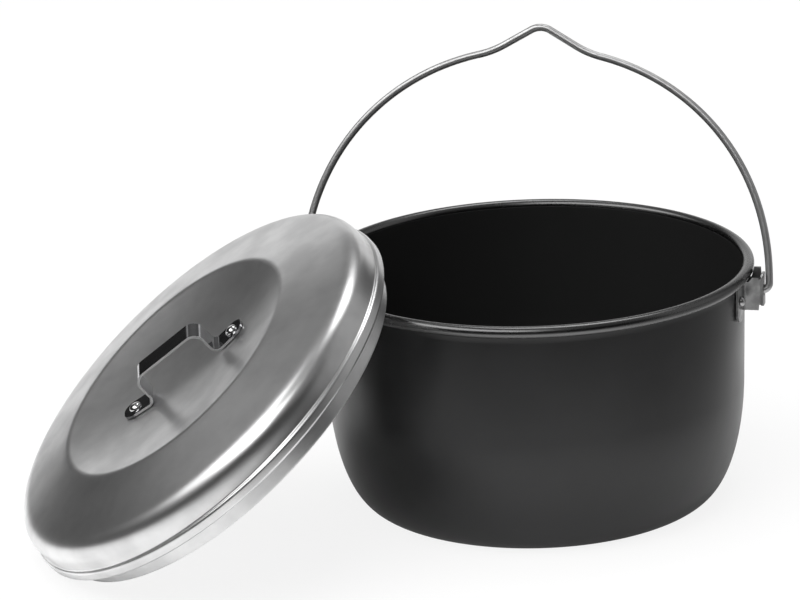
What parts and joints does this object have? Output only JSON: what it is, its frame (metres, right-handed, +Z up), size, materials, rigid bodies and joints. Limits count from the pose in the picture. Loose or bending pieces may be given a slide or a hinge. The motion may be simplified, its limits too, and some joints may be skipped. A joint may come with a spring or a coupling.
{
  "type": "camp cooking billy",
  "caption": "Round camp cooking pot with a rolled rim, a folding wire bail in riveted ears, and a loose plug lid with a strap handle leaning on its side.",
  "frame": {"origin": "middle of the pot's flat base, on the surface that the pot stands on", "axes": "+Z up along the pot's axis, +X from the middle towards the right ear along the bail's hinge line, +Y towards the back, away from the side that the lid leans on"},
  "size_m": [0.3702, 0.3251, 0.2389],
  "materials": {
    "pot": "dark anodised, satin",
    "ear": "stamped, satin",
    "ear_rivet": "bright",
    "bail": "drawn wire, bright",
    "lid": "spun, satin",
    "strap": "polished",
    "strap_rivet": "polished"
  },
  "bodies": {
    "pot": {"pot_body": "pot", "ear_bracket_right": "ear", "ear_bracket_left": "ear", "ear_rivet_right_front": "ear_rivet", "ear_rivet_right_back": "ear_rivet", "ear_rivet_left_front": "ear_rivet", "ear_rivet_left_back": "ear_rivet"},
    "bail": {"bail_wire": "bail"},
    "lid": {"lid_shell": "lid", "lid_handle": "strap", "lid_rivet_lower": "strap_rivet", "lid_rivet_upper": "strap_rivet"}
  },
  "joints": [
    {"name": "bail_hinge", "type": "hinge", "parent": "pot", "child": "bail", "pos_m": [0, 0, 0.11235], "axis": [1, 0, 0], "range_deg": [-96, 20]},
    {"name": "lid_lift", "type": "slide", "parent": "pot", "child": "lid", "axis": [-0.5504, -0.3226, 0.7701], "range_m": [0, 0.15]}
  ]
}
